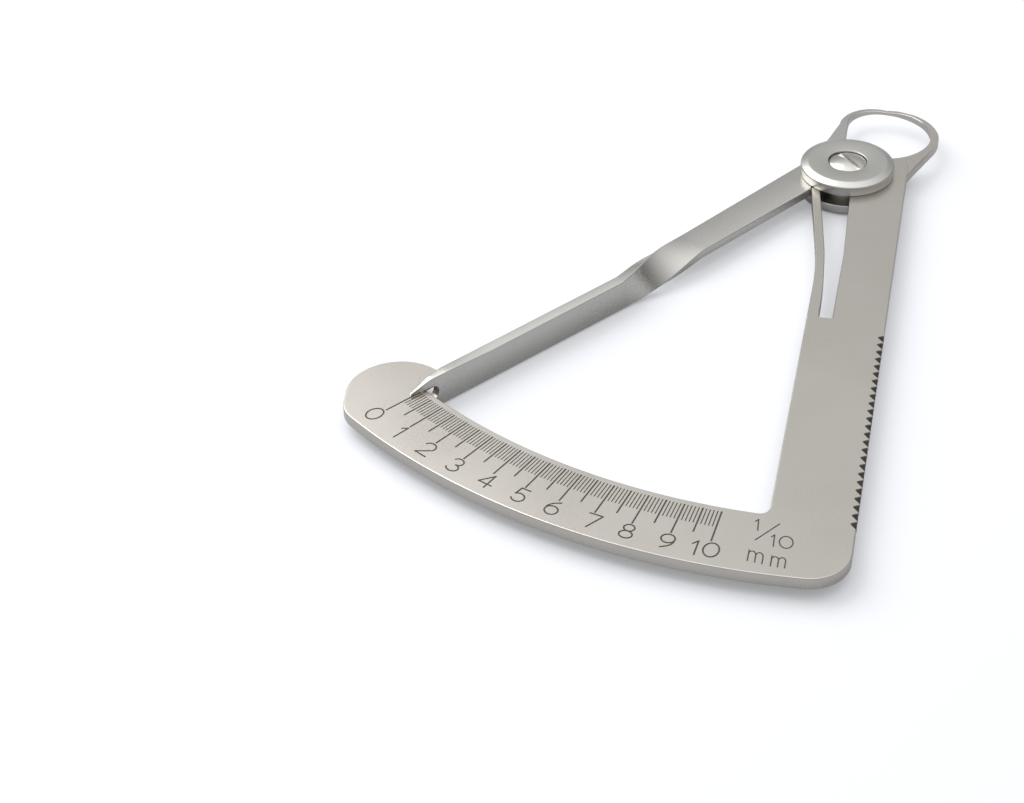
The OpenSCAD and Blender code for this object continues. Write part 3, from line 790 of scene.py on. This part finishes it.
def strip():
    """The strip: a rounded rectangle carried from the hub to the pointer and turned by a quarter.

    Once upright, its top is ground to a slant that falls towards the leg and fades out before the
    fork.
    """
    upright, taper, nib = TWIST_AT + TWIST_LEN, POINTER_R - TAPER, POINTER_R - NIB
    stops = [(3.0, TWIST_AT, 24), (TWIST_AT, upright, 64), (upright, taper, 30), (taper, nib, 12),
             (nib, POINTER_R, 6)]
    x = np.unique(np.concatenate([np.linspace(*stop) for stop in stops]).round(6))
    upper, lower, half, cy, cz, phi = (v[:, None] for v in lever_section(x))
    r = np.minimum(STRIP_ROUND, half * 0.6)
    fade = np.interp(x, [POINTER_R - 12, POINTER_R - 6], [1, 0])[:, None]
    slant = STRIP_SLANT * np.clip(phi / 90, 0, 1) * fade
    q = np.linspace(0, math.pi / 2, 5)
    sides = [(1, 1, q, lower), (-1, 1, q[::-1], upper - slant), (-1, -1, q, upper),
             (1, -1, q[::-1], lower)]
    a = np.concatenate([sa * (reach - r + r * np.cos(w)) for sa, _, w, reach in sides], 1)
    b = np.concatenate([sb * (half - r + r * np.sin(w)) for _, sb, w, _ in sides], 1)
    p = np.radians(-phi)
    y = cy + a * np.cos(p) - b * np.sin(p)
    z = cz + a * np.sin(p) + b * np.cos(p)
    flat = turn(np.stack([np.broadcast_to(x[:, None], y.shape), y], -1).reshape(-1, 2), ZERO)
    return lofted("strip", np.concatenate([flat.reshape(*y.shape, 2), z[..., None]], -1))


def fork_room():
    """Gap of the fork: as high as the plate and its clearance, with a round inner end."""
    h, far = PLATE_T / 2 + FORK_GAP, 80
    side = np.concatenate([arc((FORK_AT + h, PLATE_MID), h, 270, 90, 13),
                           [(far, PLATE_MID + h), (far, PLATE_MID - h)]])
    across = np.array([-3.0, 3.0])[:, None]
    flat = np.stack(np.broadcast_arrays(side[:, 0], across), -1).reshape(-1, 2)
    flat = turn(flat, ZERO).reshape(2, -1, 2)
    z = np.broadcast_to(side[:, 1], flat.shape[:2])
    return lofted("fork_room", np.concatenate([flat, z[..., None]], -1))


def pointer_lever():
    """Left jaw, lap half, strip with its twist, and the forked pointer."""
    bar = cut(cut(cut(strip(), fork_room()), hub_room(0, LAP_TOP)), lever_pocket())
    half = cut(lap("lever_lap", LAP_TOP, PLATE_TOP), lever_pocket())
    whole = joined("pointer_lever_strip", [bar, half, left_jaw()])
    dress(whole, "lever", "lever_steel", LEVER, "pointer_lever")


def ring_arc(r, z, size, a0, a1, n):
    """Profile points of a rounded corner about (r, z)."""
    return [tuple(p) for p in arc((r, z), size, a0, a1, n)]


def top_disc():
    """Upper disc: straight rim, sloped and softly rounded shoulder, flat top with a recess."""
    wide, slope, upper_r, lower_r = 1.15, 24, 0.8, 0.35
    foot_r, lip_r = 0.1, 0.08
    s, c = math.sin(math.radians(slope)), math.cos(math.radians(slope))
    run = wide - upper_r * s - lower_r * (1 - s)
    fall = upper_r * (1 - c) + run * s / c
    brow = DISC_TOP - fall - lower_r * c
    profile = [(BORE_R, DISC_Z),
               *ring_arc(DISC_R - foot_r, DISC_Z + foot_r, foot_r, -90, 0, 4),
               *ring_arc(DISC_R - lower_r, brow, lower_r, 0, 90 - slope, 9),
               *ring_arc(DISC_R - wide, DISC_TOP - upper_r, upper_r, 90 - slope, 90, 7),
               *ring_arc(RECESS_R + lip_r, DISC_TOP - lip_r, lip_r, 90, 180, 5),
               (RECESS_R, RECESS_Z), (BORE_R, RECESS_Z), (BORE_R, DISC_Z)]
    dress(turned("top_disc_turned", profile), "frame", "disc_steel", DISC, "top_disc")


def bottom_disc():
    """Lower disc: a nut with a rounded lower edge and a blind hole."""
    bore, floor_t, low_r, top_r = 1.5, 0.5, 0.7, 0.1
    profile = [(0, 0), *ring_arc(DISC_R - low_r, low_r, low_r, -90, 0, 10),
               *ring_arc(DISC_R - top_r, PLATE_Z - top_r, top_r, 0, 90, 4),
               (bore, PLATE_Z), (bore, floor_t), (0, floor_t)]
    dress(turned("bottom_disc_turned", profile), "frame", "disc_steel", DISC, "bottom_disc")


def pivot_screw():
    """Screw: domed head with its slot, shoulder and threaded end."""
    rim, dome, head, shoulder, thread = DISC_TOP - 0.2, 0.55, 2.5, 2.0, 1.47
    end, ease = 0.53, 0.05
    slot_half, slot_reach, slot_deep, slot_dir = 0.32, 4, 0.15, 135
    ball = (head * head + dome * dome) / 2 / dome
    angles = np.linspace(math.asin(head / ball), 0, 16)[1:]
    cap = [(ball * math.sin(a), rim + dome - ball + ball * math.cos(a)) for a in angles]
    profile = [(0, end), (thread, end), (thread, PLATE_Z), (shoulder, PLATE_Z),
               (shoulder, RECESS_Z), (head - ease, RECESS_Z), (head, RECESS_Z + ease),
               *ring_arc(head - ease, rim - ease, ease, 0, 60, 3), *cap]
    bar = turn([(-slot_reach, -slot_half), (slot_reach, -slot_half),
                (slot_reach, slot_half), (-slot_reach, slot_half)], slot_dir)
    screw = turned("pivot_screw_slotted", profile, 120)
    cut(screw, slab("slot_room", bar, rim - slot_deep, rim + 3, 0))
    dress(screw, "frame", "screw_steel", SCREW, "pivot_screw")


def camera():
    """A long lens that looks down on the part."""
    data = bpy.data.cameras.new("camera")
    data.sensor_fit = "HORIZONTAL"
    data.sensor_width = SENSOR
    data.lens = FOCAL_PX / WIDTH_PX * SENSOR
    data.clip_start, data.clip_end = 0.01, 20
    eye = new_object("camera", data)
    heading, dip, roll = np.array(HEADING), math.radians(DIP), math.radians(ROLL)
    right = np.array([heading[1], -heading[0], 0])
    ahead = heading * math.cos(dip) - np.array([0, 0, math.sin(dip)])
    up = heading * math.sin(dip) + np.array([0, 0, math.cos(dip)])
    r = math.cos(roll) * right + math.sin(roll) * up
    u = -math.sin(roll) * right + math.cos(roll) * up
    eye.matrix_world = Matrix([*np.stack([r, u, -ahead, EYE], 1).tolist(), (0, 0, 0, 1)])
    bpy.context.scene.camera = eye


def floor():
    """White paper under the part: it keeps the shadows, and the camera sees it a little lifted."""
    s, below = 3.0, 0.00005
    mesh = bpy.data.meshes.new("floor")
    mesh.from_pydata([(-s, -s, 0), (s, -s, 0), (s, s, 0), (-s, s, 0)], [], [(0, 1, 2, 3)])
    ground = new_object("floor", mesh)
    ground.location.z = -below
    m, t = new_tree("white_paper_floor")
    ray = add(t, "ShaderNodeLightPath")
    seen = ray.outputs["Is Camera Ray"]
    tone = add(t, "ShaderNodeMixRGB",
               {"Fac": seen, "Color1": colour("#bcbec2"), "Color2": colour("#dcdee3")})
    paper = add(t, "ShaderNodeBsdfDiffuse", {"Color": tone.outputs["Color"]})
    shine = add(t, "ShaderNodeMath", {0: ray.outputs["Is Glossy Ray"], 1: SHINE_LIFT},
                operation="MULTIPLY")
    level = add(t, "ShaderNodeMath", {0: seen, 1: FLOOR_LIFT, 2: shine.outputs[0]},
                operation="MULTIPLY_ADD")
    glow = add(t, "ShaderNodeEmission", {"Color": (1, 1, 1, 1), "Strength": level.outputs[0]})
    both = add(t, "ShaderNodeAddShader", {0: paper.outputs[0], 1: glow.outputs[0]})
    add(t, "ShaderNodeOutputMaterial", {"Surface": both.outputs[0]})
    mesh.materials.append(m)


def sky():
    """A soft white tent, plain white to the camera.

    Its light is horizon + rise z + crown z^4 + backdrop y^4 (1 - z)^3.
    """
    world = bpy.data.worlds.new("soft_tent")
    bpy.context.scene.world = world
    world.use_nodes = True
    t = world.node_tree
    t.nodes.clear()
    place = add(t, "ShaderNodeTexCoord").outputs["Generated"]
    split = add(t, "ShaderNodeSeparateXYZ", {"Vector": place})

    def calc(operation, *values):
        """The output of a math node."""
        return add(t, "ShaderNodeMath", dict(enumerate(values)), operation=operation).outputs[0]

    z = calc("MAXIMUM", split.outputs["Z"], 0.0)
    y = calc("MAXIMUM", split.outputs["Y"], 0.0)
    level = calc("MULTIPLY_ADD", z, RISE, HORIZON)
    level = calc("MULTIPLY_ADD", calc("POWER", z, 4.0), CROWN, level)
    back = calc("MULTIPLY", calc("POWER", y, 4.0), calc("POWER", calc("SUBTRACT", 1.0, z), 3.0))
    level = calc("MULTIPLY_ADD", back, BACKDROP, level)
    ray = add(t, "ShaderNodeLightPath")
    seen = add(t, "ShaderNodeMix", {"Factor": ray.outputs["Is Camera Ray"], "A": level, "B": 1.0},
               data_type="FLOAT")
    glow = add(t, "ShaderNodeBackground", {"Strength": seen.outputs[0], "Color": TENT_TINT})
    add(t, "ShaderNodeOutputWorld", {"Surface": glow.outputs[0]})


def lamp(name, aim, azimuth, elevation, distance, size, power):
    """A square soft box in a direction from its aim, turned towards it."""
    data = bpy.data.lights.new(name, "AREA")
    data.shape = "SQUARE"
    data.size = size
    data.energy = power
    az, el = math.radians(azimuth), math.radians(elevation)
    away = Vector((math.cos(az) * math.cos(el), math.sin(az) * math.cos(el), math.sin(el)))
    box = new_object(name, data)
    box.location = Vector(aim) + away * distance
    box.rotation_euler = (-away).to_track_quat("-Z", "Y").to_euler()


frame_plate()
leaf_spring()
pointer_lever()
top_disc()
bottom_disc()
pivot_screw()
camera()
floor()
sky()
lamp("key_softbox", KEY_AIM, **KEY)
bpy.context.scene.view_settings.view_transform = "Standard"
